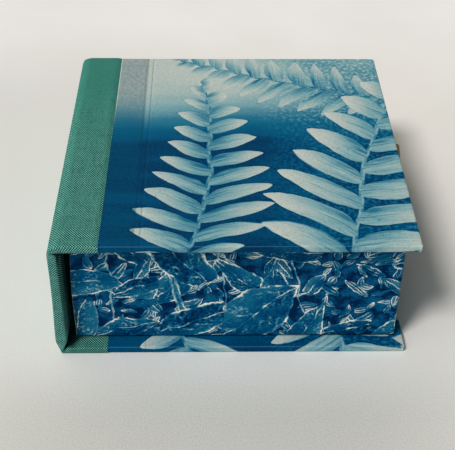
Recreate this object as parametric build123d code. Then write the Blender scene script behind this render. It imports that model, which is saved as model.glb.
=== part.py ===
"""A clamshell book box: a quarter-bound case of three boards, with a tray glued inside each cover.

Millimetres, +Z up. The box lies closed on its back cover, with its spine on the -X side, the tail edge
on the -Y side and the head edge on the +Y side. The origin is the centre of the back cover's outer face.
Everything is modelled with the spine's outer face at X = 0, and moved to the origin as it is written.
"""
from build123d import *
import os
from math import cos, hypot, pi, sin, sqrt

# The case: two covers and a spine of greyboard, covered in bookcloth and printed paper
case_width = 125.0  # from the spine's outer face to the covers' fore-edges
case_depth = 123.5  # from the tail edge to the head edge
case_height = 51.0  # from the back cover's outer face to the front cover's
case_board = 2.25  # thickness of the greyboard
case_covering = 0.35  # thickness of the bookcloth, and of the printed paper that meets it edge to edge
cloth_reach = 17.0  # the bookcloth's edge on each cover, from the spine's outer face
lining_reach = 28.0  # the inner hinge lining's edge on each cover, from the spine's outer face
case_turn_in = 14.0  # covering folded over onto the boards' inner faces
corner_round = 1.0  # the covers' fore-edge corners, seen from above
edge_round = 0.7  # the covered edges of the boards

# The joints: the flexible cloth between the spine board and each cover board
joint_gap = 1.45  # from the spine's inner face to the cover boards' spine edges
lower_joint_height = 6.0  # from the back cover's outer face to the spine board's lower end
upper_joint_height = 4.2  # from the front cover's outer face to the spine board's upper end
lower_bend = 1.6  # width of the cloth's bend under the spine, where the box's weight presses it
upper_bend = 3.2  # width of the looser bend over the top of the spine
joint_dip = 0.3  # sag of the cloth between its bend and the cover board
joint_layers = 2  # the outer cloth, and the turned-in cloth or the lining glued to it in the joint
notch_round = 0.6  # softness of the fold line inside each joint
joint_edge_round = 0.3  # the joint cloth's head and tail edges

# The trays: a base and three walls of thinner board, open towards the spine
tray_board = 2.0  # thickness of the tray board
tray_paper = 0.3  # thickness of the covering and lining papers
tray_turn_in = 12.0  # paper folded under the base
rim_round = 0.5  # the paper's fold over the walls' edges
tray_setback = 2.4  # from the cover boards' spine edges to the trays' open ends
fore_square = 4.2  # how far the covers stand past the large tray at the fore-edge
end_square = 5.0  # the same at the head and the tail
side_clearance = 1.0  # between the two trays at the head and the tail
fore_clearance = 2.2  # between the two trays at the fore-edge, so that the large one can swing clear
rim_clearance = 0.8  # from each tray's rim to what it faces

# The pull tab: a strip of leather folded double, glued between the front cover and the large tray
tab_width = 7.3
tab_thickness = 1.4  # two layers
tab_reach = 2.7  # how far it stands past the covers' fore-edges
tab_tail = 14.0  # how much of it is glued in, behind the large tray's fore-edge wall
tab_droop = 1.6  # how far its outer end hangs below its glued part
tab_fold = 1.1  # radius of the fold at its outer end
tab_eye = 0.35  # radius of the hollow left inside the fold
tab_clearance = 0.15  # between the tab and the recess cut for it in the large tray

tolerance = 1e-6  # for telling which edges lie on a plane

# What follows from them
cover_thickness = case_board + 2 * case_covering
cover_start = cover_thickness + joint_gap  # the cover boards' spine edges
tray_start = cover_start + tray_setback  # the trays' open ends
half_depth = case_depth / 2
wall_thickness = tray_board + 2 * tray_paper
large_length = case_width - fore_square - tray_start
large_width = case_depth - 2 * end_square
large_height = case_height - 2 * cover_thickness - rim_clearance
small_length = large_length - wall_thickness - fore_clearance
small_width = large_width - 2 * (wall_thickness + side_clearance)
small_height = case_height - 2 * cover_thickness - wall_thickness - rim_clearance


def block(x, y, z):
    """A rectangular solid between the two values given along each axis."""
    size = [high - low for low, high in (x, y, z)]
    return Pos(x[0], y[0], z[0]) * Box(*size, align=(Align.MIN, Align.MIN, Align.MIN))


def on_both_sides(y):
    """The span along Y from -y to y."""
    return (-y, y)


def front_from_back(solid):
    """The front cover's pieces are the back cover's, mirrored at the middle of the box's height."""
    return mirror(solid, about=Plane.XY.offset(case_height / 2))


# --- The covers ------------------------------------------------------------------------------------


def cover_slab(inset):
    """A cover's outline, shrunk by inset on its faces and on its head, tail and fore edges."""
    x_end, y_end = case_width - inset, half_depth - inset
    slab = block((cover_start, x_end), on_both_sides(y_end), (inset, cover_thickness - inset))
    corners = slab.edges().filter_by(Axis.Z).group_by(Axis.X)[-1]
    slab = fillet(corners, corner_round - inset)
    outline = [
        edge
        for face in (slab.faces().sort_by(Axis.Z)[0], slab.faces().sort_by(Axis.Z)[-1])
        for edge in face.edges()
        if edge.center().X > cover_start + inset
    ]
    return fillet(outline, edge_round - inset)


def cover():
    """The back cover: its board, bookcloth, printed paper and hinge lining."""
    board = cover_slab(case_covering)
    inner_layer = (cover_thickness - case_covering, cover_thickness)
    window_y = on_both_sides(half_depth - case_turn_in)
    window = block((cover_start, case_width - case_turn_in), window_y, inner_layer)
    covering = cover_slab(0) - board - window
    cloth_edge = Plane(origin=(cloth_reach, 0, 0), z_dir=(1, 0, 0))
    cloth = split(covering, bisect_by=cloth_edge, keep=Keep.BOTTOM)
    printed = split(covering, bisect_by=cloth_edge, keep=Keep.TOP)
    lining = block((cover_start, lining_reach), window_y, inner_layer)
    return board, cloth, printed, lining


# --- The spine -------------------------------------------------------------------------------------


def spine_slab(inset, z_span):
    """The spine's outline, shrunk by inset on its faces and on its head and tail ends."""
    slab = block((inset, cover_thickness - inset), on_both_sides(half_depth - inset), z_span)
    return fillet(slab.edges().filter_by(Axis.Z), edge_round - inset)


def spine():
    """The spine board, the bookcloth round it and the lining on its inner face."""
    z_span = (lower_joint_height, case_height - upper_joint_height)
    board = spine_slab(case_covering, z_span)
    inner_layer = (cover_thickness - case_covering, cover_thickness)
    lining = block(inner_layer, on_both_sides(half_depth - case_turn_in), z_span)
    cloth = spine_slab(0, z_span) - board - lining
    return board, cloth, lining


# --- The joints ------------------------------------------------------------------------------------


def joint_cloth(bend_width, joint_height):
    """The cloth of a joint, as it lies in the lower one. It leaves the spine board's end, bends under it,
    sags a little and reaches the cover board's edge. Inside, the lining is pressed down to a fold line."""
    bend = EllipticalCenterArc(
        center=(bend_width, joint_height),
        x_radius=bend_width,
        y_radius=joint_height,
        start_angle=180,
        arc_size=90,
    )
    sag_middle = ((bend_width + cover_start) / 2, joint_dip)
    sag = ThreePointArc((bend_width, 0), sag_middle, (cover_start, 0))
    thickness = joint_layers * case_covering
    slope = hypot(bend_width, joint_height)
    fold_x = bend_width * (1 - cos(pi / 4)) + thickness * joint_height / slope
    fold_z = joint_height * (1 - sin(pi / 4)) + thickness * bend_width / slope
    inside = Polyline(
        (cover_start, 0),
        (cover_start, cover_thickness),
        (fold_x, fold_z),
        (cover_thickness, joint_height),
        (0, joint_height),
    )
    section = make_face(Curve() + [bend, sag, inside])
    fold = section.vertices().sort_by_distance((fold_x, fold_z))[0]
    section = fillet(fold, notch_round)
    at_the_head = Plane(origin=(0, half_depth, 0), x_dir=(1, 0, 0), z_dir=(0, -1, 0))
    cloth = extrude(at_the_head * section, case_depth)
    across = cloth.edges().filter_by(Axis.Y, reverse=True)
    loose = [
        edge
        for edge in across
        if edge.center().X < cover_start - tolerance and edge.center().Z < joint_height - tolerance
    ]
    return fillet(loose, joint_edge_round)


def hinge_inset(bend_width, joint_height):
    """How far inside the two outer faces a joint turns. It makes the cloth's length round the bend equal
    to its length between the boards when the box lies open and flat."""
    a, b = bend_width, joint_height
    quarter_ellipse = pi * (3 * (a + b) - sqrt((3 * a + b) * (a + 3 * b))) / 4
    flat_length = quarter_ellipse + cover_start - bend_width
    return (cover_start + joint_height - flat_length) / 2


# --- The trays -------------------------------------------------------------------------------------


def tray(length, width, height):
    """A tray standing on its base, open at X = 0: base, head, tail and fore-edge walls, the covering
    strip round the walls, and the lining paper."""
    half_width = width / 2
    wall_outside = half_width - tray_paper
    wall_inside = wall_outside - tray_board
    fore_outside = length - tray_paper
    fore_inside = fore_outside - tray_board
    floor = tray_paper + tray_board
    wall_z = (tray_paper, height - tray_paper)

    base = block((tray_paper, fore_inside), on_both_sides(wall_inside), (tray_paper, floor))
    head = block((tray_paper, fore_outside), (wall_inside, wall_outside), wall_z)
    tail = mirror(head, about=Plane.XZ)
    fore = block((fore_inside, fore_outside), on_both_sides(wall_inside), wall_z)

    covering = tray_covering(length, half_width, height)
    for side in (1, -1):
        y_span = sorted((side * wall_inside, side * wall_outside))
        covering += block((0, tray_paper), y_span, wall_z)

    floor_y = on_both_sides(wall_inside - tray_paper)
    lining = block((0, fore_inside - tray_paper), floor_y, (floor, floor + tray_paper))
    lining += block((0, tray_paper), floor_y, (tray_paper, floor))
    under_y = on_both_sides(half_width - tray_turn_in)
    lining += block((0, tray_turn_in), under_y, (0, tray_paper))
    return base, head, tail, fore, covering, lining


def tray_covering(length, half_width, height):
    """The covering strip: under the base's edge, up the walls' outsides, over their rims and down inside
    to the base, mitred at the two fore-edge corners."""
    floor = tray_paper + tray_board
    outline = Polyline(
        (-tray_turn_in, 0),
        (0, 0),
        (0, height),
        (-wall_thickness, height),
        (-wall_thickness, floor),
        (tray_paper - wall_thickness, floor),
        (tray_paper - wall_thickness, height - tray_paper),
        (-tray_paper, height - tray_paper),
        (-tray_paper, tray_paper),
        (-tray_turn_in, tray_paper),
        close=True,
    )
    across_the_wall = Plane(origin=(0, half_width, 0), x_dir=(0, 1, 0), z_dir=(1, 0, 0))
    section = across_the_wall * make_face(outline)
    round_the_tray = Polyline(
        (0, half_width, 0), (length, half_width, 0), (length, -half_width, 0), (0, -half_width, 0)
    )
    strip = sweep(section, path=round_the_tray, transition=Transition.RIGHT)
    strip = fillet(strip.edges().filter_by(Axis.Z).group_by(Axis.X)[-1], rim_round)
    underside, *_, rim = strip.faces().sort_by(Axis.Z)
    over_the_rim = [edge for edge in rim.edges() if edge.center().X > tray_paper]
    round_the_outside = [
        edge
        for edge in underside.edges()
        if edge.center().X > length - rim_round or abs(edge.center().Y) > half_width - rim_round
    ]
    return fillet(over_the_rim + round_the_outside, rim_round)


# --- The pull tab ----------------------------------------------------------------------------------


def pull_tab():
    """The folded leather strip, hanging a little outside the large tray's fore-edge wall."""
    tray_face = case_width - fore_square
    glued_z = case_height - cover_thickness - tab_thickness / 2
    start = (tray_face - tab_tail, 0, glued_z)
    leave = (tray_face, 0, glued_z)
    end = (case_width + tab_reach - tab_fold, 0, glued_z - tab_droop)
    glued = Line(start, leave)
    hanging = TangentArc(leave, end, tangent=(1, 0, 0))
    section = Rectangle(tab_width, tab_thickness)
    across = Plane(origin=start, x_dir=(0, 1, 0), z_dir=(1, 0, 0))
    strip = sweep(across * section, path=Wire([glued, hanging]))
    along_y = Plane(origin=end, z_dir=(0, 1, 0))
    fold = along_y * Cylinder(tab_fold, tab_width)
    eye = along_y * Cylinder(tab_eye, 2 * tab_width)
    return strip + fold - eye


def tab_recess():
    """The space cut in the large tray so that the tab lies flush between it and the front cover."""
    tray_face = case_width - fore_square
    x_span = (tray_face - tab_tail - tab_clearance, tray_face)
    top = case_height - cover_thickness
    z_span = (top - tab_thickness - tab_clearance, top)
    return block(x_span, on_both_sides(tab_width / 2 + tab_clearance), z_span)


# --- The box ---------------------------------------------------------------------------------------

nodes = {}

cover_names = ("board", "cloth", "print", "hinge_lining")
for name, solid in zip(cover_names, cover()):
    nodes["back_" + name] = solid
    nodes["front_" + name] = front_from_back(solid)

nodes["spine_board"], nodes["spine_cloth"], nodes["spine_lining"] = spine()
nodes["lower_joint_cloth"] = joint_cloth(lower_bend, lower_joint_height)
nodes["upper_joint_cloth"] = front_from_back(joint_cloth(upper_bend, upper_joint_height))

tray_names = ("base", "head_wall", "tail_wall", "fore_edge_wall", "covering", "lining")
on_the_back_cover = Pos(tray_start, 0, cover_thickness)
for name, solid in zip(tray_names, tray(small_length, small_width, small_height)):
    nodes["small_tray_" + name] = on_the_back_cover * solid
for name, solid in zip(tray_names, tray(large_length, large_width, large_height)):
    nodes["large_tray_" + name] = front_from_back(on_the_back_cover * solid)
for name in ("base", "fore_edge_wall", "covering"):
    nodes["large_tray_" + name] -= tab_recess()

nodes["pull_tab"] = pull_tab()

os.makedirs("parts", exist_ok=True)
to_the_origin = Pos(-case_width / 2, 0, 0)
for name, solid in nodes.items():
    export_step(to_the_origin * solid, f"parts/{name}.step")

lower_inset = hinge_inset(lower_bend, lower_joint_height)
upper_inset = hinge_inset(upper_bend, upper_joint_height)
for name, inset, z in (("lower", lower_inset, lower_inset), ("upper", upper_inset, case_height - upper_inset)):
    print(f"{name} joint turns about x = {inset - case_width / 2:.4f}, z = {z:.4f}")
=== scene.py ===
from functools import partialmethod
from math import ceil, cos, pi, radians, sin

import bmesh
import bpy
import numpy as np
from mathutils import Matrix, Vector


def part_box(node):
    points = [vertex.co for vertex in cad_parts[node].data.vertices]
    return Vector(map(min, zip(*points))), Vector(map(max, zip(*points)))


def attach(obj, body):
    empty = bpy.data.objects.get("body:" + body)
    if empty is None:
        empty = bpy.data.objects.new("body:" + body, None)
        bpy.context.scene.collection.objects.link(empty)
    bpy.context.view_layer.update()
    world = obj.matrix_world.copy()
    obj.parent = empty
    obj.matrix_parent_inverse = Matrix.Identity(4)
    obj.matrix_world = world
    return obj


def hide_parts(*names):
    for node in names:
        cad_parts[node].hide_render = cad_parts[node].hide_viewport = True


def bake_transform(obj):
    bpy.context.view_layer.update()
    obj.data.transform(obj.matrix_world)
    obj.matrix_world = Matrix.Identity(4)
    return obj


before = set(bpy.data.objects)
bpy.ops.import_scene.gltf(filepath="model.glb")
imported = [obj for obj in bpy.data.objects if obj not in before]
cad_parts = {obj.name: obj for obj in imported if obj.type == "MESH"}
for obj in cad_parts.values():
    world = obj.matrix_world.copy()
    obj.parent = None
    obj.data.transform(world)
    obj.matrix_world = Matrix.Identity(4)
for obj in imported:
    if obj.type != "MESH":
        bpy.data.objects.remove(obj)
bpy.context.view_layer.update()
mm = 0.001


# --- The table, the lamps and the camera ---
# The box lies closed on a pale painted table. A window stands high in front of it, to the left. The room's
# light comes from that side too, and hardly any from the right. The camera looks down on the tail edge.


def add_object(name, data):
    """A new object in the scene."""
    thing = bpy.data.objects.new(name, data)
    bpy.context.scene.collection.objects.link(thing)
    return thing


lens_mm = 76.07
camera_place = Vector((-9.32, -302.0, 259.11)) * mm
camera_heading, camera_dip, camera_roll = radians(1.565), radians(39.60), radians(0.87)
camera = add_object("camera", bpy.data.cameras.new("camera"))
camera.data.lens = lens_mm
camera.data.clip_start = 10 * mm
camera.matrix_world = (
    Matrix.Translation(camera_place)
    @ Matrix.Rotation(-camera_heading, 4, "Z")
    @ Matrix.Rotation(pi / 2 - camera_dip, 4, "X")
    @ Matrix.Rotation(camera_roll, 4, "Z")
)
bpy.context.scene.camera = camera
bpy.context.scene.view_settings.view_transform = "Standard"

window_strength = 2.21
window_spread = radians(14.7)
window_colour = (1.0, 0.941, 0.902)
window_from = Vector((-0.417, -0.400, 0.816))
key = add_object("key_lamp", bpy.data.lights.new("key_lamp", "SUN"))
key.data.energy = window_strength
key.data.angle = window_spread
key.data.color = window_colour
key.rotation_euler = window_from.to_track_quat("Z", "Y").to_euler()


def tint(red, green, blue):
    """A screen colour, 0 to 255 a channel, as the linear colour that a shader takes."""
    shares = [channel / 255 for channel in (red, green, blue)]
    return (*[s / 12.92 if s <= 0.04045 else ((s + 0.055) / 1.055) ** 2.4 for s in shares], 1.0)


class Reading:
    """What comes out of a node. Arithmetic on it adds Math nodes."""

    def __init__(self, finish, socket):
        self.finish = finish
        self.socket = socket

    def maths(self, operation, *others):
        return self.finish.add("Math", {"operation": operation}, dict(enumerate((self, *others))))

    __add__ = __radd__ = partialmethod(maths, "ADD")
    __sub__ = partialmethod(maths, "SUBTRACT")
    __mul__ = __rmul__ = partialmethod(maths, "MULTIPLY")
    __truediv__ = partialmethod(maths, "DIVIDE")
    __pow__ = partialmethod(maths, "POWER")
    __abs__ = partialmethod(maths, "ABSOLUTE")
    __lt__ = partialmethod(maths, "LESS_THAN")
    __gt__ = partialmethod(maths, "GREATER_THAN")
    at_least = partialmethod(maths, "MAXIMUM")
    at_most = partialmethod(maths, "MINIMUM")
    floor = partialmethod(maths, "FLOOR")
    cosine = partialmethod(maths, "COSINE")

    def __rsub__(self, other):
        return self.finish.add("Math", {"operation": "SUBTRACT"}, {0: other, 1: self})

    def ramp(self, low, high):
        """0 below low, 1 above high, and a smooth rise between. It falls where low is above high."""
        settings = {"interpolation_type": "SMOOTHSTEP"}
        return self.finish.add("MapRange", settings, {"Value": self, "From Min": low, "From Max": high})

    def sister(self, name):
        """Another output of the same node."""
        return Reading(self.finish, self.socket.node.outputs[name])


class Finish:
    """A material, and the one way to add a node to it."""

    def __init__(self, name, roughness, specular):
        self.material = bpy.data.materials.new(name)
        self.material.use_nodes = True
        self.tree = self.material.node_tree
        self.shader = self.tree.nodes["Principled BSDF"]
        self.shader.inputs["Roughness"].default_value = roughness
        self.shader.inputs["Specular IOR Level"].default_value = specular

    def add(self, kind, settings=None, sockets=None, output=0):
        """Adds a node: its settings first, then what its sockets hold. Returns one of its outputs."""
        node = self.tree.nodes.new("ShaderNode" + kind)
        for name, value in (settings or {}).items():
            setattr(node, name, value)
        for name, value in (sockets or {}).items():
            self.fill(node.inputs[name], value)
        return Reading(self, node.outputs[output])

    def fill(self, socket, value):
        if isinstance(value, Reading):
            self.tree.links.new(value.socket, socket)
        else:
            socket.default_value = value

    def feed(self, **sockets):
        """Links readings to the shader's own sockets."""
        for name, value in sockets.items():
            self.fill(self.shader.inputs[name.replace("_", " ")], value)

    def vector(self, operation, *inputs, **named):
        """Arithmetic on places and directions."""
        return self.add("VectorMath", {"operation": operation}, {**dict(enumerate(inputs)), **named})

    def parts(self, vector):
        """A vector's X, Y and Z."""
        x = self.add("SeparateXYZ", None, {0: vector})
        return x, x.sister("Y"), x.sister("Z")

    def flat_place(self):
        """Where a point lies on its sheet, in millimetres, when the sheet is laid out flat."""
        return self.vector("SCALE", self.add("UVMap", {"uv_map": "laid_flat"}), Scale=1 / mm)

    def wear_and_painted_light(self):
        """How worn the piece is at a point, from 0 to 1, with the painted shade in the cloth's joints and
        the painted highlight on the papers' edges.
        """
        return self.add("Attribute", {"attribute_name": "wear_and_painted_light"}, output="Fac")

    def noise(self, place, size, detail=2.0, stretch=(1, 1, 1)):
        """Smooth noise from 0 to 1, with lumps of about that size."""
        if stretch != (1, 1, 1):
            place = self.vector("MULTIPLY", place, stretch)
        return self.add("TexNoise", None, {"Vector": place, "Scale": 1 / size, "Detail": detail})

    def toned(self, place, stops):
        """A colour from its place on a scale of tones."""
        scale = self.add("ValToRGB", None, {0: place})
        elements = scale.socket.node.color_ramp.elements
        for start, _ in stops[2:]:
            elements.new(start)
        for element, (start, colour) in zip(elements, sorted(stops)):
            element.position = start
            element.color = colour
        return scale

    def mix(self, share, first, second):
        """The first colour, with that share of the second over it."""
        return self.add("Mix", {"data_type": "RGBA"}, {0: share, 6: first, 7: second}, output=2)

    def colour(self, base, *layers):
        """Gives the shader a base colour with layers over it, each of them a share and a colour."""
        for share, over in layers:
            base = self.mix(share, base, over)
        self.feed(Base_Color=base)

    def bump(self, height, depth, strength):
        """Height, from 0 to 1, stands out of the surface by the depth."""
        bump = {"Height": height, "Distance": depth, "Strength": strength}
        self.feed(Normal=self.add("Bump", None, bump))


table_size = 6.0
table = add_object("table", bpy.data.meshes.new("table"))
edge = table_size / 2
table.data.from_pydata(
    [(-edge, -edge, 0), (edge, -edge, 0), (edge, edge, 0), (-edge, edge, 0)], [], [(0, 1, 2, 3)]
)
# The paint's colour grows lighter to the right and towards the back: painted light, for how the room's light
# falls over the table.
left_paint, right_paint, far_paint = tint(217, 217, 217), tint(230, 229, 228), tint(236, 234, 236)
front_shade_paint, aged_paint, grain_paint = tint(203, 202, 199), tint(200, 198, 192), tint(140, 140, 134)
patch_size, brush_size, grain_size = 60 * mm, 1.2 * mm, 0.5 * mm
paint = Finish("pale_table_paint", roughness=0.8, specular=0.2)
where = paint.add("TexCoord", output="Object")
patches = paint.noise(where, patch_size, 5.0).ramp(0.25, 0.75)
brushed = paint.noise(where, brush_size)
grainy = paint.noise(where, grain_size).ramp(0.35, 0.65)
table_x, table_y, _ = paint.parts(where)
# Painted shade on the table in front of the box, where the box hides the light from behind; the paint's
# grain is painted darker there too.
front_shade = table_y.ramp(-58 * mm, -95 * mm) * abs(table_x + 3 * mm).ramp(135 * mm, 30 * mm)
paint.colour(
    left_paint,
    (table_x.ramp(-90 * mm, 90 * mm), right_paint),
    (table_y.ramp(100 * mm, 200 * mm), far_paint),
    (front_shade, front_shade_paint),
    (patches * 0.16, aged_paint),
    (grainy * (0.06 + front_shade * 0.24), grain_paint),
)
paint.bump(patches * 0.6 + brushed * 0.4, 0.4 * mm, 0.35)
table.data.materials.append(paint.material)

wall_colour = tint(222, 221, 215)
room_fill = (0.392, 0.410, 0.373)  # red, green and blue of the light from straight above
fill_from_the_right = -2.13  # how much more comes from the right, as a share of it
fill_from_behind = (0.41, -0.11, -0.43)  # and from behind, in red, green and blue
room = bpy.data.worlds.new("room")
room.use_nodes = True
bpy.context.scene.world = room


class Air(Finish):
    """The room's light, which differs from side to side."""

    def __init__(self, world):
        self.tree = world.node_tree
        self.shader = self.tree.nodes["Background"]


air = Air(room)
rightwards, backwards, _ = air.parts(air.add("TexCoord", output="Generated"))
glow = air.vector("MULTIPLY_ADD", backwards, fill_from_behind, 1 + rightwards * fill_from_the_right)
glow = air.vector("MULTIPLY", air.vector("MAXIMUM", glow, (0.0, 0.0, 0.0)), room_fill)
air.feed(Color=air.mix(air.add("LightPath", output="Is Camera Ray"), glow, wall_colour))


# --- The green bookcloth ---
# A plain-woven cotton cloth, dyed green and backed with paper. It is glued round the spine and onto both
# covers, turned in over their head and tail edges, and left free between the boards as the two joints.

back_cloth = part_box("back_cloth")
front_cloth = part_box("front_cloth")
spine_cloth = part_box("spine_cloth")
cloth_thickness = 0.35 * mm
cloth_turn_in = 14 * mm
cloth_edge_round = 0.7 * mm
cloth_proud = 0.3 * mm  # beyond the paper at the head and tail, as it is the thicker of the two
cover_thickness = back_cloth[1].z - back_cloth[0].z
half_depth = back_cloth[1].y
spine_face = spine_cloth[0].x
box_height = front_cloth[1].z
warp_pitch, weft_pitch = 0.455, 0.55  # these and the next sizes are in millimetres on the flat cloth
slub_width, slub_length_share = 0.6, 0.08
wander_size, lane_width, dye_patch = 9.0, 3.0, 22.0
board_edge_starts, board_edge_full = 61.3, 62.3  # across the cloth, where it turns over the boards' ends
lower_end, upper_end = 14.0, 19.0  # along the cloth, on the lower cover and past its joint
bookcloth_tones = [
    (0.0, tint(0, 38, 32)),
    (0.3, tint(6, 84, 74)),
    (0.5, tint(36, 120, 109)),
    (0.72, tint(72, 161, 149)),
    (1.0, tint(150, 206, 197)),
]
thin_dye, flat_nap = tint(34, 96, 84), tint(76, 122, 112)
painted_end_shade, fold_shade_colour = tint(0, 84, 72), tint(0, 14, 13)

thread = Finish("green_bookcloth", roughness=0.9, specular=0.03)
cloth_place = thread.flat_place()
along_cloth, across_cloth, _ = thread.parts(cloth_place)
wander = thread.noise(cloth_place, wander_size)
slub_warp = thread.noise(cloth_place, slub_width, stretch=(1.0, slub_length_share, 1))
slub_weft = thread.noise(cloth_place, slub_width, stretch=(slub_length_share, 1.0, 1))
lanes = thread.noise(cloth_place, lane_width, 3.0, stretch=(1.0, 0.03, 1))
uneven = thread.noise(cloth_place, dye_patch, 3.0).ramp(0.3, 0.7)
warp = along_cloth / warp_pitch + wander * 1.1
weft = across_cloth / weft_pitch + wander * 0.9
float_over = ((warp - 0.5) * pi).cosine() * ((weft - 0.5) * pi).cosine()  # 1 where the weft floats, or -1


def roundness(threads):
    """1 along the middle of each thread, and less towards the next one."""
    return 1 - abs(threads - threads.floor() - 0.5) ** 2.0 * 3.2


weft_height = roundness(weft) * (0.55 + float_over * 0.45)
warp_height = roundness(warp) * (0.55 - float_over * 0.45)
weave = weft_height.at_least(warp_height)
crossing = thread.add("CombineXYZ", None, {0: warp.floor(), 1: weft.floor()})
crossing_dye = thread.add("TexWhiteNoise", {"noise_dimensions": "2D"}, {"Vector": crossing})
lustre = float_over * 0.64 + (weave - 0.67) * 0.3 + (slub_warp + slub_weft - 1.0) * 0.34
lustre = lustre + (crossing_dye - 0.5) * 0.12 + (lanes - 0.55) * 0.2
# On the boards' head and tail ends the weave shows more contrast, and the cloth is painted lighter on the
# spine's and upper cover's ends and darker on the lower cover's: painted light and painted shade, for how
# the window's light falls on those faces.
on_board_edge = abs(across_cloth).ramp(board_edge_starts, board_edge_full)
rubbed_flat = across_cloth.ramp(25.0, -66.0)  # the nap is rubbed flatter towards the head
crispness = 1.12 + on_board_edge * 0.6 - rubbed_flat * 0.86
tone = (lustre - 0.055) * crispness + 0.527 + on_board_edge * along_cloth.ramp(12.0, upper_end) * 0.09
thread.colour(
    thread.toned(tone, bookcloth_tones),
    (uneven * 0.1, thin_dye),
    ((1 - crispness).at_least(0.0) * 0.5, flat_nap),
    (on_board_edge * along_cloth.ramp(upper_end, lower_end) * 0.22, painted_end_shade),
    # Painted shade deep inside the joints' folds, where no light reaches.
    (thread.wear_and_painted_light() * 0.72, fold_shade_colour),
)
thread.bump(weave, 0.1 * mm, 0.6)


def make_piece(name, vertices, faces, flat_corners, finish, wear_and_painted_light):
    """A mesh piece with its faces' corners laid out flat, in metres, and each vertex's wear and painted
    light.
    """
    mesh = bpy.data.meshes.new(name)
    mesh.from_pydata([tuple(v) for v in vertices], [], [tuple(f) for f in faces])
    flat = mesh.uv_layers.new(name="laid_flat")
    flat.uv.foreach_set("vector", np.asarray(flat_corners, np.float32).ravel())
    wear_and_light_layer = mesh.attributes.new("wear_and_painted_light", "FLOAT", "POINT")
    wear_and_light_layer.data.foreach_set("value", np.asarray(wear_and_painted_light, np.float32).ravel())
    mesh.materials.append(finish.material)
    mesh.shade_smooth()
    return add_object(name, mesh)


def grid_faces(shape, first=0):
    """The four-cornered faces between neighbours in a grid of points numbered from the first."""
    number = first + np.arange(shape[0] * shape[1]).reshape(shape)
    return np.stack([number[:-1, :-1], number[1:, :-1], number[1:, 1:], number[:-1, 1:]], -1).reshape(-1, 4)


def from_grid(name, places, flat, finish, wear_and_painted_light):
    """A sheet from a grid of points and where each of them lies on the sheet when it is flat."""
    faces = grid_faces(places.shape[:2])
    flat_corners = flat.reshape(-1, 2)[faces.ravel()]
    return make_piece(name, places.reshape(-1, 3), faces, flat_corners, finish, wear_and_painted_light)


def settled(piece):
    """The piece with its modifiers applied to its mesh."""
    bpy.context.view_layer.update()
    evaluated = piece.evaluated_get(bpy.context.evaluated_depsgraph_get())
    piece.data = bpy.data.meshes.new_from_object(evaluated)
    piece.modifiers.clear()
    piece.data.set_sharp_from_angle(angle=radians(40))
    return piece


def thickened(piece, thickness):
    """A sheet given its thickness, inwards from the face that shows."""
    solid = piece.modifiers.new("thickness", "SOLIDIFY")
    solid.thickness = thickness
    solid.offset = -1
    solid.use_even_offset = True
    solid.use_quality_normals = True
    return settled(piece)


def smooth(t):
    """0 to 1 with level ends, for shares below 0 and above 1 too."""
    t = np.clip(t, 0, 1)
    return t * t * (3 - 2 * t)


def evenly(start, end, step):
    """Values from start to end, about a step apart."""
    return np.linspace(start, end, max(2, ceil(abs(end - start) / step) + 1))


def together(*coordinates):
    """Points from arrays of their coordinates, which are first stretched to one shape."""
    return np.stack(np.broadcast_arrays(*coordinates), -1)


def running_length(line):
    """How far along a line each of its points is."""
    return np.linalg.norm(np.diff(line, axis=0, prepend=line[:1]), axis=1).cumsum()


line_step = 0.3  # in millimetres


def paired_lines(legs, softness):
    """The cloth's outer and inner faces, seen from the tail, as two lines of points that face each other.
    Each leg is an outer and an inner point. The lines run straight between them, then are softened."""
    legs = np.array(legs, float)
    at = [len(legs) - 1]
    for leg, length in enumerate(np.linalg.norm(np.diff(legs[:, 0], axis=0), axis=1)):
        at.extend(leg + np.linspace(0, 1, max(2, ceil(length / line_step)), endpoint=False))
    lines = []
    for side, passes in enumerate(softness):
        line = together(*[np.interp(sorted(at), range(len(legs)), way) for way in legs[:, side].T])
        for _ in range(passes):
            line[1:-1] = line[1:-1] * 0.5 + (line[:-2] + line[2:]) * 0.25
        lines.append(line * mm + (spine_face, 0))
    return *lines, running_length(lines[0])


def c_section(thickness, radius):
    """The cloth's way round a board, from one turn-in to the other: how far across and how deep it lies,
    and its length from the middle."""
    turn = np.linspace(0, pi / 2, 7)
    brim = half_depth + cloth_proud
    flat_end = brim - radius
    half = np.concatenate(
        [
            together(np.linspace(brim - cloth_turn_in, flat_end, 10), thickness),
            together(flat_end + radius * np.sin(turn), thickness - radius + radius * np.cos(turn))[1:],
            together(brim, np.linspace(thickness - radius, radius, 5))[1:-1],
            together(flat_end + radius * np.cos(turn), radius - radius * np.sin(turn)),
            together(np.linspace(flat_end, 0, 32), 0)[1:],
        ]
    )
    section = np.concatenate([half, half[-2::-1] * (-1, 1)])
    length = running_length(section)
    return *section.T, length - length[-1] / 2


fold_shade_reach, fold_shade_fade = 3.6, 3.0  # in millimetres from the bottom of the fold


def painted_fold_shade(line, valley):
    """1 deep inside a joint, where no light falls, and 0 away from it: how much painted shade the cloth
    takes there.
    """
    bottom = np.array(valley) * mm + (spine_face, 0)
    return 1 - smooth((np.linalg.norm(line - bottom, axis=-1) / mm - fold_shade_reach) / fold_shade_fade)


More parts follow.
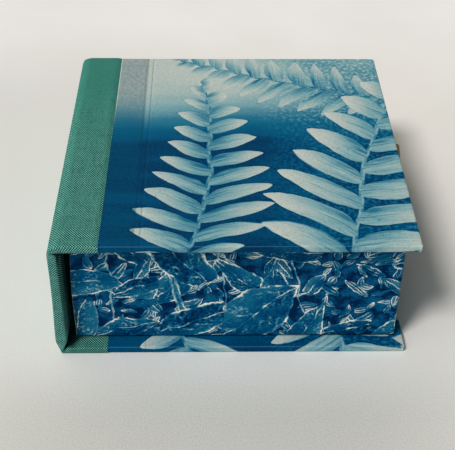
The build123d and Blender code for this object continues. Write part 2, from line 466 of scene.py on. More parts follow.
def cloth_strip(name, legs, valley, softness, turned_over):
    """The strip from its edge on one cover to the middle of the spine. It is worked out for the back
    cover, and turned over for the front cover."""
    outer, inner, length = paired_lines(legs, softness)
    rows, rows_flat, fold_shading = [], [], []
    for face, back, run, near_fold in zip(outer, inner, length, painted_fold_shade(inner, valley)):
        thickness = np.hypot(*(back - face))
        radius = min(cloth_edge_round, thickness * 0.49)
        across, depth, width = c_section(thickness, radius)
        place = face + (back - face) * (depth / thickness)[:, None]
        rows.append(together(place[:, 0], across, place[:, 1]))
        rows_flat.append(together(run, width))
        # Painted shade on the cloth's inner face near the bottom of the fold.
        inside = (depth > thickness * 0.8) * smooth((half_depth + cloth_proud - abs(across)) / radius)
        fold_shading.append(near_fold * inside)
    places, flat, fold_shading = np.array(rows), np.array(rows_flat), np.array(fold_shading)
    if turned_over:
        places[..., 2] = box_height - places[..., 2]
        flat[..., 0] = 2 * length[-1] - flat[..., 0]
    else:
        places, flat, fold_shading = places[::-1], flat[::-1], fold_shading[::-1]
    return thickened(from_grid(name, places, flat, thread, fold_shading), cloth_thickness)


# In millimetres from the spine's outer face and from the cover's: the outer point and the inner point.
# The cloth bulges out at the foot of the spine, where the joint's bend presses it off the board.
cloth_edge = (back_cloth[1].x - spine_face) / mm
full = cover_thickness / mm
middle = box_height / 2 / mm
lower_valley, upper_valley = (0.85, 0.8), (1.45, 3.35)
lower_legs = [
    ((cloth_edge, 0.14), (cloth_edge, full)),
    ((cloth_edge - 3, 0), (cloth_edge - 3, full)),
    ((2.6, 0), (2.6, full)),
    ((0.25, 0), lower_valley),
    ((-1.4, 6.1), (full, 6.3)),
    ((-1.2, 12), (full, 12)),
    ((-0.6, middle), (full, middle)),
]
upper_legs = [
    ((cloth_edge, 0.14), (cloth_edge, full)),
    ((cloth_edge - 1.6, -0.22), (cloth_edge - 1.6, full)),
    ((3.4, -0.22), (4.2, full - 0.1)),
    ((0.7, 0.7), (2.7, full)),
    ((-0.3, 3.2), upper_valley),
    ((-0.35, 5.6), (full, 4.3)),
    ((-0.35, 13), (full, 13)),
    ((-0.6, middle), (full, middle)),
]
lower_joint = lower_legs, lower_valley, (5, 2)  # and how often the outer and the inner line are smoothed
upper_joint = upper_legs, upper_valley, (9, 2)
lower_cloth = cloth_strip("lower_bookcloth", *lower_joint, False)
upper_cloth = cloth_strip("upper_bookcloth", *upper_joint, True)


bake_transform(lower_cloth)
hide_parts("back_cloth", "lower_joint_cloth", "spine_cloth")
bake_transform(upper_cloth)
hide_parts("front_cloth", "upper_joint_cloth")


# --- The inner hinge lining ---
# A second strip of the same cloth, pasted inside the case over the spine board and both joints, between
# the turned-in ends of the outer strip. It is pressed down into each joint as a fold line.

lining_lap = 3 * mm  # how far it lies over the turned-in cloth
lining_proud = 0.12 * mm
lining_thickness = 0.3 * mm
lining_step = 2 * mm
lining_edge = (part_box("back_hinge_lining")[1].x - spine_face) / mm


def lining_strip(name, legs, valley, softness, turned_over):
    """The lining inside the same legs, from its edge on one cover to the middle of the spine."""
    legs = [((lining_edge, 0), (lining_edge, full)), *legs[1:]]
    outer, inner, length = paired_lines(legs, softness)
    inwards = inner - outer
    inner = inner + inwards / np.linalg.norm(inwards, axis=1)[:, None] * lining_proud
    half_width = half_depth - cloth_turn_in + lining_lap
    across = evenly(half_width, -half_width, lining_step)
    places = together(inner[:, :1], across, inner[:, 1:])
    flat = together(length[:, None], across)
    # Painted shade near the fold, fainter than on the outer strip.
    fold_shading = np.repeat(painted_fold_shade(inner, valley)[:, None] * 0.7, len(across), axis=1)
    if turned_over:
        places[..., 2] = box_height - places[..., 2]
        places, flat, fold_shading = places[::-1], flat[::-1], fold_shading[::-1]
    return thickened(from_grid(name, places, flat, thread, fold_shading), lining_thickness)


lower_lining = lining_strip("lower_hinge_lining", *lower_joint, False)
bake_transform(lower_lining)
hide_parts("back_hinge_lining", "spine_lining")
upper_lining = lining_strip("upper_hinge_lining", *upper_joint, True)
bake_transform(upper_lining)
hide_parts("front_hinge_lining")


# --- The covers' printed paper ---
# A thin paper with a blue sun print of ferns, pasted on each cover board up to the bookcloth's edge. It is
# folded over the fore, head and tail edges and mitred at the corners. What lies under it shows as a ledge.

front_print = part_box("front_print")
print_start = front_print[0].x
cover_end = front_print[1].x
paper_thickness = 0.35 * mm
paper_turn_in = 14 * mm
arris_round = 0.7 * mm
buried_edge = 28.4  # where the cloth ends under the paper, in millimetres from the spine's outer face
crease_line = 30.6  # where the paper was creased
ledge_height, crease_depth = 0.07 * mm, 0.1 * mm
worn_corner = 2.8 * mm
paper_step = 2.2 * mm
sun_print_stops = [
    (0.0, tint(203, 206, 201)),
    (0.2, tint(179, 192, 189)),
    (0.45, tint(119, 165, 175)),
    (0.65, tint(40, 115, 145)),
    (0.8, tint(4, 92, 130)),
    (0.92, tint(0, 72, 116)),
    (1.0, tint(0, 42, 84)),
]


def frond(finish, place, blur, foot, heading, length, reach, pitch, bow):
    """A fern frond that lay on the paper: what it covered, how much light came through it, and the
    darker line round it. Where it didn't lie close, by the blur, its edge is soft. The stem starts at its
    foot, bows to one side, and carries a leaflet on both sides at every pitch, as long as the reach."""
    x, y = place
    heading = radians(heading)
    away_x, away_y = x - foot[0], y - foot[1]
    along = away_x * cos(heading) + away_y * sin(heading)
    far = along / length
    across = away_y * cos(heading) - away_x * sin(heading) - far * (1 - far) * (4 * bow)
    side = abs(across)
    staggered = (along - side * 0.55 + side * side * 0.006) / pitch + (across > 0) * 0.5
    number = staggered.floor()
    local = staggered - number - 0.5
    middle = (number + 0.5) * (pitch / length)
    leaflet = (1 - middle).at_least(0.001) ** 0.6 * middle.ramp(-0.15, 0.3) * reach
    out = side / leaflet.at_least(0.5)
    left_over = (1 - out).at_least(0)
    grain_place = finish.add("CombineXYZ", None, {0: side * 0.11, 1: local * pitch, 2: number * 3.7})
    fine = finish.noise(grain_place, 0.7, 3.0)
    broad = finish.noise(grain_place, 2.4)
    width = (out + 0.02) ** 0.4 * left_over**0.72 * 0.8 + (fine - 0.5) * 0.03
    inside = width - abs(local + (broad - 0.5) * 0.1)
    growing = (middle > 0.0) * (middle < 1.0)
    leaf = inside.ramp(-0.008 - blur * 0.05, 0.012 + blur * 0.07) * (out < 1.0) * growing
    stem = side.ramp(1.1, 0.6) * (far > 0.0) * (far < 0.97)
    rib = abs(local).ramp(0.03, 0.008) * left_over
    under = out.ramp(0.95, 0.05) * (0.06 + broad * 0.55)
    shade = 0.03 + under + local.ramp(-0.1, 0.4) * 0.16 + rib * 0.16
    shade = shade + (fine - 0.42) * (0.24 + under * 0.5)
    return leaf.at_least(stem), shade, inside.ramp(-0.05, -0.01) * (out < 1.05) * growing


def covered(beneath, over, sheerness=0.0):
    """The exposure where one thing lies over another. The outline of what lies on top is a shade darker."""
    cover, shade, halo = over
    seen = beneath + halo * 0.1 * (1 - cover)
    return seen * (1 - cover) + (shade + beneath * sheerness) * cover


def paper_marks(finish, flat):
    """Fibres, hairline creases and specks, which every one of the papers has."""
    fibres = finish.noise(flat, 0.35, 3.0)
    hairline = abs(finish.noise(flat, 16.0, 4.0) - 0.5).ramp(0.0035, 0.0)
    hairline = hairline * finish.noise(flat, 30.0).ramp(0.5, 0.62)
    cell = finish.add("TexVoronoi", {"voronoi_dimensions": "2D"}, {"Vector": flat, "Scale": 0.45})
    speck = cell.ramp(0.13, 0.07) * (cell.sister("Color") > 0.78)
    return fibres, hairline, speck


def chips(finish, flat, size, raggedness, start):
    """Where a worn paper has lost its ink, in ragged chips."""
    ragged = finish.noise(flat, size, 4.0) - 0.5
    return (finish.wear_and_painted_light() + ragged * raggedness).ramp(start, start + 0.3)


paper_white, ledge_shadow, over_cloth_tint = tint(205, 207, 198), tint(20, 44, 50), tint(0, 66, 98)
wrinkle_shadow, ink_grain = tint(70, 84, 80), tint(0, 92, 116)
bare_cut_and_highlight, arris_highlight = tint(226, 220, 212), tint(140, 200, 208)
cover_print = Finish("cover_sun_print", roughness=0.5, specular=0.02)
print_flat = cover_print.flat_place()
print_x, print_y, _ = cover_print.parts(print_flat)
elsewhere = cover_print.vector("ADD", print_flat, (71.0, 33.0, 0.0))
drift_x, drift_y = [cover_print.noise(place, 34.0, 3.0) for place in (print_flat, elsewhere)]
wavy = print_x + (drift_x - 0.5) * 7, print_y + (drift_y - 0.5) * 7
blur = cover_print.noise(elsewhere, 24.0, 1.0).ramp(0.42, 0.75)
streaks = cover_print.noise(print_flat, 7.0, 4.0, stretch=(0.16, 1.0, 1.0))
clouds = cover_print.noise(print_flat, 42.0)
mottle = cover_print.noise(print_flat, 1.5, 3.0).ramp(0.42, 0.72) * print_x.ramp(62.0, 108.0)
bare = print_y.ramp(-6.0, 42.0) * (0.4 + print_x.ramp(118.0, 52.0) * 0.38)
ground = 0.97 - bare + (clouds - 0.5) * 0.3 + (streaks - 0.5) * 0.12 - mottle * 0.3
exposure = ground.at_most(0.98)
for sheerness, foot, heading, length, reach, pitch, bow in (
    (0.3, (131, 30), 160, 108, 25, 9.0, 5),
    (0.12, (40, -84), 86, 132, 30, 10.8, -10),
    (0.05, (100, -100), 74, 176, 42, 15.0, 12),
):
    laid_on = frond(cover_print, wavy, blur, foot, heading, length, reach, pitch, bow)
    exposure = covered(exposure, laid_on, sheerness)
fibres, hairline, speck = paper_marks(cover_print, print_flat)
exposure = exposure + (streaks - 0.5) * 0.08 + (fibres - 0.5) * 0.2 + hairline * 0.22 + speck * 0.14
# Darker where the paper lies over the buried cloth.
over_cloth = print_x.ramp(buried_edge + 0.3, buried_edge - 0.3)
past_ledge = print_x.ramp(buried_edge + 0.3, buried_edge + 0.7)
pale_strip = past_ledge * print_x.ramp(crease_line - 0.1, crease_line - 0.5)
ledge = abs(print_x - buried_edge + 0.2).ramp(0.9, 0.1) * 0.45
crease = abs(print_x - crease_line).ramp(0.32, 0.06) * (0.4 + fibres * 0.7)
wrinkled = cover_print.noise(print_flat, 1.3, 4.0, stretch=(1.0, 0.6, 1.0)).ramp(0.3, 0.7)
wrinkles = wrinkled * exposure.ramp(0.8, 0.3) * (0.08 + over_cloth * 0.2)
grain = cover_print.noise(print_flat, 0.9).ramp(0.36, 0.64)
cloth_side = (print_start - spine_face) / mm
# The paper's pale cut edge by the cloth, lit from the left: its bare edge and a painted highlight, in the
# pale parts only.
cut_edge = print_x.ramp(cloth_side + 0.3, cloth_side + 0.12) * exposure.ramp(0.75, 0.25)
cover_print.colour(
    cover_print.toned(exposure, sun_print_stops),
    (over_cloth * 0.3, over_cloth_tint),
    (wrinkles, wrinkle_shadow),
    (pale_strip * exposure.ramp(0.85, 0.3) * 0.14, paper_white),
    ((ledge + crease).at_most(1.0) * 0.4, ledge_shadow),
    (grain * (0.12 + exposure.ramp(0.3, 0.8) * 0.14), ink_grain),
    (cut_edge * 0.8, bare_cut_and_highlight),
    # Painted highlight along the paper's rounded edges and at its corners.
    (cover_print.wear_and_painted_light().ramp(0.16, 0.42) * 0.16, arris_highlight),
    (chips(cover_print, print_flat, 0.8, 1.3, 0.55) * 0.75, paper_white),
)
cover_print.bump(fibres * 0.4 + grain * 0.3 + streaks * 0.2 + hairline * 0.3, 0.06 * mm, 0.5)


def patchwork(name, patches, finish):
    """One mesh from grids that meet edge to edge. With each grid come its flat places, its wear and painted
    light, and the way that its middle face looks."""
    places, flats, faces, all_wear_and_painted_light, first = [], [], [], [], 0
    for grid, flat, wear_and_painted_light, looks in patches:
        i, j = (grid.shape[0] - 1) // 2, (grid.shape[1] - 1) // 2
        here, down, beside = grid[i, j], grid[i + 1, j], grid[i, j + 1]
        if np.dot(np.cross(down - here, beside - here), looks) < 0:
            grid, flat, wear_and_painted_light = grid[::-1], flat[::-1], wear_and_painted_light[::-1]
        faces.append(grid_faces(grid.shape[:2], first))
        first += wear_and_painted_light.size
        places.append(grid.reshape(-1, 3))
        flats.append(flat.reshape(-1, 2))
        all_wear_and_painted_light.append(wear_and_painted_light.ravel())
    places, flats, faces, all_wear_and_painted_light = [np.concatenate(each) for each in (places, flats, faces, all_wear_and_painted_light)]
    piece = make_piece(name, places, faces, flats[faces.ravel()], finish, all_wear_and_painted_light)
    sheet = bmesh.new()
    sheet.from_mesh(piece.data)
    bmesh.ops.remove_doubles(sheet, verts=sheet.verts, dist=1e-6)
    bmesh.ops.dissolve_degenerate(sheet, edges=sheet.edges, dist=1e-7)
    sheet.to_mesh(piece.data)
    sheet.free()
    return piece


def softened(places, low, high, radius):
    """Places on a sharp-edged block, moved onto the block with its edges rounded, and how near each is to
    the middle of a rounded edge."""
    core = np.clip(places, low + radius, high - radius)
    out = places - core
    reach = np.abs(out).max(axis=-1, keepdims=True)
    length = np.maximum(np.linalg.norm(out, axis=-1, keepdims=True), 1e-9)
    on_edge = np.sort(np.abs(out), axis=-1)[..., 1] / radius
    return core + out * reach / length, on_edge


def rounded_steps(start, end, step, round_start=True, others=()):
    """Values from start to end, about a step apart, and closer together at the rounded ends."""
    close = np.array([0, 0.15, 0.3, 0.45, 0.6, 0.7, 1.0, 1.5, 2.2, 3.2]) * mm
    close_end = 3.8 * mm
    values = [evenly(start + close_end * round_start, end - close_end, step), end - close, others]
    if round_start:
        values.append(start + close)
    return np.unique(np.round(np.concatenate(values), 7))


def cover_paper(name, turned_over):
    """The sheet round the back cover's board, or turned over for the front cover's."""
    low = np.array([print_start - 1, -half_depth, 0])  # the paper's edge by the cloth stays square
    high = np.array([cover_end, half_depth, cover_thickness])
    ridges = np.add.outer([buried_edge, crease_line], [-0.5, -0.25, 0, 0.25, 0.5]).ravel() * mm
    xs = rounded_steps(print_start, cover_end, paper_step, False, spine_face + ridges)
    ys = rounded_steps(-half_depth, half_depth, paper_step)
    zs = np.linspace(0, cover_thickness, 15)
    folded = rounded_steps(0, paper_turn_in, 2.5 * mm)
    share_x = (xs - print_start) / (cover_end - print_start)
    patches = []

    def add(x, y, z, flat_x, flat_y, looks):
        places, on_edge = softened(together(x, y, z), low, high, arris_round)
        from_spine_mm = (places[..., 0] - spine_face) / mm
        lower = smooth((from_spine_mm - buried_edge + 0.25) / 0.5) * ledge_height
        dent = np.exp(-(((from_spine_mm - crease_line) / 0.3) ** 2)) * crease_depth
        on_outer_face = places[..., 2] < 0.1 * mm
        places[..., 2] += np.where(on_outer_face, lower + dent, 0)
        corner = np.array([cover_end, half_depth])
        away = np.linalg.norm(together(places[..., 0], abs(places[..., 1])) - corner, axis=-1)
        # Worn most at the corners and less along the rounded edges; the same values place the painted
        # highlight on the edges.
        wear_and_painted_light = np.maximum(on_edge**2 * 0.42, smooth(1 - away / worn_corner))
        if turned_over:
            places[..., 2] = box_height - places[..., 2]
            looks = (looks[0], looks[1], -looks[2])
        patches.append((places, together(flat_x - spine_face, flat_y), wear_and_painted_light, looks))

    add(xs[:, None], ys, 0, xs[:, None], ys, (0, 0, -1))
    add(cover_end, ys[:, None], zs, cover_end + zs, ys[:, None], (1, 0, 0))
    for side in (-1, 1):
        edge_y = side * half_depth
        add(xs[:, None], edge_y, zs, xs[:, None], edge_y + side * zs, (0, side, 0))
        narrowed = print_start + share_x[:, None] * (cover_end - folded - print_start)
        turned = edge_y + side * (cover_thickness + folded)
        add(narrowed, edge_y - side * folded, cover_thickness, narrowed, turned, (0, 0, 1))
    narrowed = ys[:, None] * (half_depth - folded) / half_depth
    turned = cover_end + cover_thickness + folded
    add(cover_end - folded, narrowed, cover_thickness, turned, narrowed, (0, 0, 1))
    return thickened(patchwork(name, patches, cover_print), paper_thickness)


back_paper = cover_paper("back_cover_paper", False)
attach(back_paper, "back_cover")
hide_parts("back_print")
front_paper = cover_paper("front_cover_paper", True)
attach(front_paper, "front_cover")
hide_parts("front_print")


# --- The large tray's printed covering ---
# One long strip of paper with a darker sun print of fallen leaves. It is folded round the three walls of the
# tray, over their rims and down inside, tucked under the base, and closes the walls' ends at the spine.

wall_thickness = 2.6 * mm  # the board with its paper on both faces
wrap_thickness = 0.3 * mm
wrap_round = 0.5 * mm
wrap_tuck = 3 * mm
wrap_step = 1.6  # in millimetres
end_bow = 0.55 * mm  # how far the middle of a wall's open end stands out towards the spine
end_warp_reach = 25 * mm  # how far from its open end a wall's warping goes
worn_edge = 0.6 * mm
quarter_turn = np.linspace(0, pi / 2, 6)


def wrap_profile(height):
    """The strip's way over a wall: from its tuck under the base, up the outside, over the rim and down
    inside. Gives the outer half as points, then each point's depth, rise and length down the strip."""
    top = height / mm
    rise = np.concatenate([[0, 0.25, 0.6], evenly(1.2, top - wrap_step, wrap_step), [top - 0.9]]) * mm
    inwards, down = 1 - np.cos(quarter_turn), 1 - np.sin(quarter_turn)
    over_rim = together(wrap_round * inwards, height - wrap_round * down)
    half = np.concatenate([together(0, rise), over_rim, [[wall_thickness / 2, height]]])
    tuck = np.array([[wrap_tuck, 0], [wrap_tuck / 2, 0]])
    profile = np.concatenate([tuck, half, (half * [-1, 1] + [wall_thickness, 0])[-2::-1]])
    return half, *profile.T, running_length(profile) - wrap_tuck


def round_the_walls(length, half_width, depth):
    """The strip's way from one open end round the fore-edge to the other, at each depth into the wall,
    and each row's length along the strip."""
    bend = np.maximum(wrap_round - depth, 0.04 * mm)
    run_x, run_y = length - depth - bend, half_width - depth - bend
    near_end = np.array([0.002, 0.005, 0.01])  # more rows close to the corners, so that they stay crisp
    shares = np.unique(np.concatenate([np.linspace(0, 1, 56), near_end, 1 - near_end]))
    both_ways = np.unique(np.concatenate([2 * shares - 1, 1 - 2 * shares]))
    turns = quarter_turn[1:-1]
    rows = [(share * run_x, depth - half_width) for share in shares]
    rows += [(run_x + bend * np.sin(turn), -run_y - bend * np.cos(turn)) for turn in turns]
    rows += [(length - depth, share * run_y) for share in both_ways if share < 0]
    rows += [(x, -y) for x, y in rows[::-1]]
    x, y = np.array(rows).transpose(1, 0, 2)
    return x, y, running_length(together(x[:, 2], y[:, 2]))


def tray_wrap(name, node, on_base, finish, splay, slant):
    """The covering of a tray whose box is the node's. It is worked out standing on its base, and turned
    over if it hangs from the front cover. At the rim, the fore-edge wall leans out by the splay, and the
    walls' open ends reach further by the slant."""
    low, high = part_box(node)
    length, half_width, height = high.x - low.x, high.y, high.z - low.z
    half, depth, rise, down = wrap_profile(height)
    x, y, along = round_the_walls(length, half_width, depth)
    z = np.broadcast_to(rise, x.shape)

    def placed(x, y, z):
        outer = np.clip(1 - (np.minimum(half_width - abs(y), length - x) / wall_thickness), 0, 1)
        lean = splay * z / height * smooth(x / length * 2 - 1) * outer
        bow = -end_bow * np.sin(pi * np.clip(z / height, 0, 1))
        open_end = (bow - slant * z / height) * smooth(1 - x / end_warp_reach)
        z = low.z + z if on_base else high.z - z
        return together(low.x + x + lean + open_end, y, z)

    def rubbed(x, y, z):
        corner = np.hypot(np.minimum(length - x, x * 1.6), half_width - abs(y))
        rim = smooth(1 - (height - z) / worn_edge) * 0.45
        return np.maximum(rim, smooth(1 - corner / worn_edge) * (0.45 + 0.5 * z / height))

    up = (0, 0, 1) if on_base else (0, 0, -1)
    patches = [(placed(x, y, z), together(along[:, None], down), rubbed(x, y, z), up)]
    steps = np.linspace(0, 1, 4)[:, None]
    for side in (-1, 1):
        cap_y = side * (half_width - (half[:, 0] + steps * (wall_thickness - 2 * half[:, 0])))
        cap = np.broadcast_arrays(0.0, cap_y, half[:, 1])
        flat = together(-abs(half_width - abs(cap_y)), half[:, 1])
        patches.append((placed(*cap), flat, rubbed(*cap), (-1, 0, 0)))
    return thickened(patchwork(name, patches, finish), wrap_thickness)


leaf_tones = [
    (0.0, tint(250, 242, 226)),
    (0.14, tint(208, 208, 198)),
    *sun_print_stops[2:-1],
    (1.0, tint(0, 32, 70)),
]
leaf_print = Finish("tray_leaf_print", roughness=0.52, specular=0.02)
leaf_flat = leaf_print.flat_place()
leaf_y = leaf_print.parts(leaf_flat)[1]
leaf_drift = leaf_print.noise(leaf_flat, 100 / 9, 3.0).sister("Color")
leaf_bent = leaf_print.vector("ADD", leaf_flat, leaf_print.vector("SCALE", leaf_drift, Scale=5.0))
leaf_bent_x = leaf_print.parts(leaf_bent)[0]
lively = leaf_print.noise(leaf_flat, 5.0, 4.0).ramp(0.4, 0.62)
crinkle = leaf_print.noise(leaf_flat, 1.7, 3.0) - 0.5
sparks = leaf_print.noise(leaf_flat, 0.55).ramp(0.6, 0.72)


def fallen_leaves(beneath, size, seed, bare_share):
    """A layer of leaves lying every way over what is beneath, one or none in each cell of a random net."""
    moved = leaf_print.vector("ADD", leaf_bent, (seed * 17.3, seed * 9.1, 0.0))
    cell = leaf_print.add("TexVoronoi", {"voronoi_dimensions": "2D"}, {"Vector": moved, "Scale": 1 / size})
    away = leaf_print.vector("SUBTRACT", moved, cell.sister("Position"))
    away_x, away_y, _ = leaf_print.parts(away)
    turn, chance, breadth = leaf_print.parts(cell.sister("Color"))
    cosine, sine = (turn * (2 * pi)).cosine(), (turn * (2 * pi) - pi / 2).cosine()
    along = away_x * cosine + away_y * sine
    across = away_y * cosine - away_x * sine
    across = across + along * along * ((chance - 0.5) * (0.9 / size))
    share = along / (size * 0.72)
    half_width = (1 - share * share) * (1 - share * 0.35) * (size * 0.16 + breadth * (size * 0.18))
    inside = half_width - abs(across) + crinkle * (0.5 + size * 0.03)
    leaf = inside.ramp(0.0, 0.16) * (chance > bare_share)
    rib = abs(across).ramp(0.3, 0.08)
    veins = ((abs(across) * 1.5 - along) * (42 / size) + crinkle * 2).cosine().ramp(0.6, 1.0)
    rim = inside.ramp(0.3 + size * 0.03, 0.08)
    pale_lines = rib * (0.12 + lively * 0.6) + rim * (0.14 + lively) + veins * 0.22 * lively
    grain = leaf_print.noise(away, size * 0.04, 4.0)
    body = across.ramp(-0.4, size * 0.2) * 0.16 + breadth * 0.08
    body = body + grain.ramp(0.45, 0.75) * 0.42 * lively
    shade = 0.98 - body - (grain - 0.5) * 0.25 - pale_lines
    return beneath * (1 - leaf) + shade * leaf


def blades(beneath, spacing, width, seed):
    """Stalks and grass blades standing here and there, each with its own lean and breadth."""
    number = ((leaf_bent_x + seed) / spacing).floor()
    chances = leaf_print.add("TexWhiteNoise", {"noise_dimensions": "1D"}, {"W": number + seed}, "Color")
    leaning, breadth, standing = leaf_print.parts(chances)
    lean = (leaning - 0.5) * 1.1
    up = leaf_y - 20
    middle = (number + 0.5) * spacing - seed + up * lean + up * up * (lean * 0.01)
    away = abs(leaf_bent_x - middle + crinkle * 0.5)
    breadth = (0.35 + breadth) * width
    body = (breadth - away).ramp(0.0, 0.14)
    hollow = (breadth * (0.35 + lively * 0.45) - away).ramp(0.0, 0.3)
    shade = 0.06 + hollow * 0.62 + crinkle * 0.5
    tall = (standing > 0.35) * (leaf_y * 0.09 + leaning * 7 - 4).ramp(0.0, 0.3)
    body = body * tall * (0.35 + lively * 0.65)
    return beneath * (1 - body) + shade * body


# The dark paper, with leaves over leaves, paler along their edges and veins. After each layer's kind come
# its size or spacing in millimetres, its seed or width, and its bare share or seed.
leaf_tone = 1.02 - leaf_print.noise(leaf_flat, 5.0, 4.0).ramp(0.35, 0.75) * 0.2
for layer, *choices in (
    (fallen_leaves, 4.5, 1, 0.4),
    (fallen_leaves, 9.0, 2, 0.4),
    (blades, 13.0, 0.5, 4.0),
    (fallen_leaves, 20.0, 3, 0.25),
    (blades, 31.0, 2.4, 9.0),
    (fallen_leaves, 34.0, 5, 0.45),
    (blades, 43.0, 0.4, 11.0),
):
    leaf_tone = layer(leaf_tone, *choices)
leaf_fibres, leaf_hairline, leaf_speck = paper_marks(leaf_print, leaf_flat)
patchy = leaf_print.noise(leaf_flat, 11.0, 3.0)
leaf_tone = leaf_tone + (patchy - 0.5) * 0.16 + (leaf_fibres - 0.5) * 0.24
leaf_tone = leaf_tone - leaf_speck * 0.25 - sparks * lively * 0.34
leaf_chips = chips(leaf_print, leaf_flat, 1.1, 1.2, 0.5) * 0.85
leaf_print.colour(leaf_print.toned(leaf_tone, leaf_tones), (leaf_chips, paper_white))
leaf_print.bump(leaf_fibres * 0.6 + leaf_hairline * 0.4, 0.05 * mm, 0.5)

large_splay, large_slant = 0.8 * mm, 1.15 * mm
large_wrap = tray_wrap(
    "large_tray_wrap", "large_tray_covering", False, leaf_print, large_splay, large_slant
)
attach(large_wrap, "front_cover")
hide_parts("large_tray_covering")


# --- The small tray's covering ---
# The same kind of strip round the inner tray, pasted down in the same way. It is of plain paper, brushed
# deep blue by hand and left matt.

deep_blue = Finish("brushed_blue_paper", roughness=0.6, specular=0.08)
blue_flat = deep_blue.flat_place()
strokes = deep_blue.noise(blue_flat, 5.0, 5.0, stretch=(0.12, 1.0, 1.0))
pools = deep_blue.noise(blue_flat, 26.0, 3.0)
blue_fibres, _, blue_speck = paper_marks(deep_blue, blue_flat)
blue_tone = 0.93 + (strokes - 0.5) * 0.24 + (pools - 0.5) * 0.14
blue_tone = blue_tone + (blue_fibres - 0.5) * 0.14 - blue_speck * 0.1
blue_chips = chips(deep_blue, blue_flat, 1.1, 1.2, 0.55) * 0.7
deep_blue.colour(deep_blue.toned(blue_tone, sun_print_stops), (blue_chips, paper_white))
deep_blue.bump(blue_fibres * 0.6 + strokes * 0.4, 0.05 * mm, 0.5)
small_wrap = tray_wrap("small_tray_wrap", "small_tray_covering", True, deep_blue, 0.0, 0.0)
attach(small_wrap, "back_cover")
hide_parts("small_tray_covering")


# --- The trays' lining papers ---
# Cream laid paper, pasted on both floors and turned over the bases' open edges. Its fine ribs and the wider
# chain lines come from the mould that it was made on.

laid_pitch, chain_spacing = 1.1 * mm, 24 * mm
pulp_size, fleck_size, cloud_size = 0.6 * mm, 1.1 * mm, 12 * mm
cream_shade, cream_light, straw = tint(198, 188, 166), tint(222, 214, 196), tint(150, 128, 96)
cream = Finish("cream_laid_paper", roughness=0.75, specular=0.2)
cream_place = cream.add("TexCoord", output="Object")
cream_x, cream_y, _ = cream.parts(cream_place)
ribs = (cream_y * (2 * pi / laid_pitch)).cosine() * 0.5 + 0.5
chain = cream_x / chain_spacing
chains = abs(chain - chain.floor() - 0.5).ramp(0.02, 0.0)
pulp = cream.noise(cream_place, pulp_size, 4.0)
clouded = cream.noise(cream_place, cloud_size, 3.0)
cream_tone = ribs * 0.25 + pulp * 0.45 + clouded * 0.3 - chains * 0.2
fleck = cream.noise(cream_place, fleck_size).ramp(0.73, 0.78)
cream.colour(cream_shade, (cream_tone.ramp(0.2, 0.8), cream_light), (fleck * 0.5, straw))
cream.bump(ribs * 0.5 + pulp * 0.5, 0.04 * mm, 0.6)


def refinish(node, finish):
    """Gives a CAD node's object a worked finish."""
    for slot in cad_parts[node].material_slots:
        slot.material = finish.material


for tray in ("small", "large"):
    refinish(f"{tray}_tray_lining", cream)


# --- The pull tab ---
# A strip of thin tan leather, folded double and glued between the front cover and the large tray. Its fold
# stands out under the cover's fore-edge for a finger to lift.

tab_low, tab_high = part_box("pull_tab")
leather_thickness = 0.62 * mm
tab_bend = 0.75 * mm  # radius of the fold, at the middle of the leather
tab_fold_rise = 1.1 * mm  # of the fold's centre above the tab's lowest line
tab_glue = 0.1 * mm
tab_tail_cut = 0.4 * mm
tab_askew = 0.11  # how far the fold runs back, for each millimetre towards the tail
tab_droops_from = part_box("large_tray_fore_edge_wall")[1].x
pores_per_mm = 2.6
dark_tan, light_tan = tint(104, 84, 44), tint(168, 144, 96)
leather = Finish("tan_leather", roughness=0.62, specular=0.3)
leather_place = leather.add("TexCoord", output="Object")
pores = leather.add("TexVoronoi", None, {"Vector": leather_place, "Scale": pores_per_mm / mm})
tanned = leather.noise(leather_place, 2.5 * mm, 4.0)
burnished = leather.noise(leather_place, 0.6 * mm, 3.0)
leather_tone = (tanned * 0.7 + burnished * 0.3).ramp(0.35, 0.68)
leather.colour(dark_tan, (leather_tone, light_tan))
leather.bump(pores * 0.6 + burnished * 0.4, 0.06 * mm, 0.6)

tab_strip = bpy.data.node_groups.new("folded_strip", "GeometryNodeTree")
tab_strip.interface.new_socket("Line", in_out="INPUT", socket_type="NodeSocketGeometry")
for tab_size, tab_default in (("Width", tab_high.y - tab_low.y), ("Thickness", leather_thickness)):
    socket = tab_strip.interface.new_socket(tab_size, in_out="INPUT", socket_type="NodeSocketFloat")
    socket.default_value = tab_default
tab_strip.interface.new_socket("Leather", in_out="INPUT", socket_type="NodeSocketMaterial")
tab_strip.interface.new_socket("Strip", in_out="OUTPUT", socket_type="NodeSocketGeometry")
given = tab_strip.nodes.new("NodeGroupInput")
section = tab_strip.nodes.new("GeometryNodeCurvePrimitiveQuadrilateral")
eased = tab_strip.nodes.new("GeometryNodeFilletCurve")
eased.mode = "POLY"
eased.inputs["Radius"].default_value = leather_thickness * 0.32
eased.inputs["Count"].default_value = 3
along_line = tab_strip.nodes.new("GeometryNodeCurveToMesh")
along_line.inputs["Fill Caps"].default_value = True
realized = tab_strip.nodes.new("GeometryNodeRealizeInstances")
dressed = tab_strip.nodes.new("GeometryNodeSetMaterial")
result = tab_strip.nodes.new("NodeGroupOutput")
for start, end in (
    (given.outputs["Thickness"], section.inputs["Height"]),
    (given.outputs["Width"], section.inputs["Width"]),
    (section.outputs[0], eased.inputs["Curve"]),
    (given.outputs["Line"], along_line.inputs["Curve"]),
    (eased.outputs[0], along_line.inputs["Profile Curve"]),
    (along_line.outputs[0], realized.inputs[0]),
    (realized.outputs[0], dressed.inputs["Geometry"]),
    (given.outputs["Leather"], dressed.inputs["Material"]),
    (dressed.outputs[0], result.inputs[0]),
):
    tab_strip.links.new(start, end)

fold_centre = Vector((tab_high.x - tab_bend - leather_thickness / 2, 0, tab_low.z + tab_fold_rise))
glued_top = tab_high.z - leather_thickness / 2


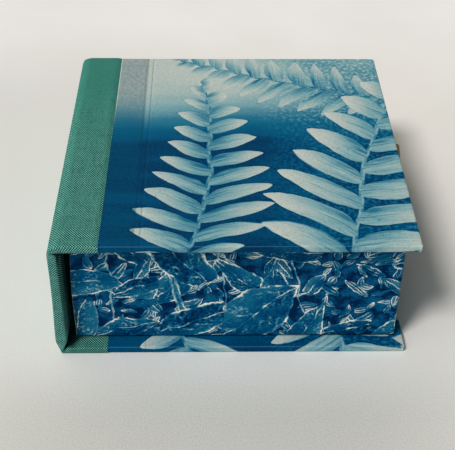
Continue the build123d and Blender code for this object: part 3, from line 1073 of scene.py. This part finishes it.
def tab_layer(side):
    """One layer's line, from its glued end to the fold: 1 for the upper layer, -1 for the lower one."""
    level = glued_top if side > 0 else glued_top - leather_thickness - tab_glue
    hanging = np.linspace(0, 1, 9)[1:-1]
    reach = fold_centre.x - tab_droops_from
    drop = level - (fold_centre.z + side * tab_bend)
    line = [(x, level) for x in evenly(tab_low.x + tab_tail_cut, tab_droops_from, 2 * mm)]
    return line + [(tab_droops_from + reach * t, level - drop * smooth(t)) for t in hanging]


turns = np.linspace(pi / 2, -pi / 2, 11)
around = [(fold_centre.x + tab_bend * cos(turn), fold_centre.z + tab_bend * sin(turn)) for turn in turns]
tab_points = tab_layer(1) + around + tab_layer(-1)[::-1]
tab_line = bpy.data.curves.new("tab_line", "CURVE")
tab_line.dimensions = "3D"
tab_spline = tab_line.splines.new("POLY")
tab_spline.points.add(len(tab_points) - 1)
for point, (x, z) in zip(tab_spline.points, tab_points):
    point.co = (x, 0, z, 1)
pull_tab = add_object("leather_pull_tab", tab_line)
maker = pull_tab.modifiers.new("strip", "NODES")
maker.node_group = tab_strip
leather_input = next(item for item in tab_strip.interface.items_tree if item.name == "Leather")
maker[leather_input.identifier] = leather.material
bpy.context.view_layer.update()
tab_mesh = bpy.data.meshes.new_from_object(pull_tab.evaluated_get(bpy.context.evaluated_depsgraph_get()))
bpy.data.objects.remove(pull_tab)
pull_tab = add_object("leather_pull_tab", tab_mesh)
for vertex in tab_mesh.vertices:
    out = max(0, vertex.co.x - tab_droops_from) / (tab_high.x - tab_droops_from)
    vertex.co.x += (vertex.co.y - tab_high.y) * tab_askew * out
tab_mesh.shade_smooth()
tab_mesh.set_sharp_from_angle(angle=radians(50))
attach(pull_tab, "front_cover")
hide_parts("pull_tab")


# --- The greyboard ---
# Pressed recycled board: the case's three boards, and the base and walls of each tray. It is cut with a
# knife and glued edge to edge, and the coverings hide almost all of it.

felt_size, board_fleck_size, mottle_size = 0.9 * mm, 1.3 * mm, 9 * mm
dark_board, light_board, inky_fleck = tint(150, 143, 131), tint(184, 177, 164), tint(92, 84, 76)
greyboard = Finish("flecked_greyboard", roughness=0.9, specular=0.1)
board_place = greyboard.add("TexCoord", output="Object")
felted = greyboard.noise(board_place, felt_size, 4.0)
mottled = greyboard.noise(board_place, mottle_size, 3.0)
board_tone = (felted * 0.6 + mottled * 0.4).ramp(0.3, 0.7)
dark_fleck = greyboard.noise(board_place, board_fleck_size).ramp(0.7, 0.76)
greyboard.colour(dark_board, (board_tone, light_board), (dark_fleck * 0.7, inky_fleck))
greyboard.bump(felted, 0.08 * mm, 0.6)
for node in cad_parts:
    if node.endswith(("_board", "_base", "_wall")):
        refinish(node, greyboard)
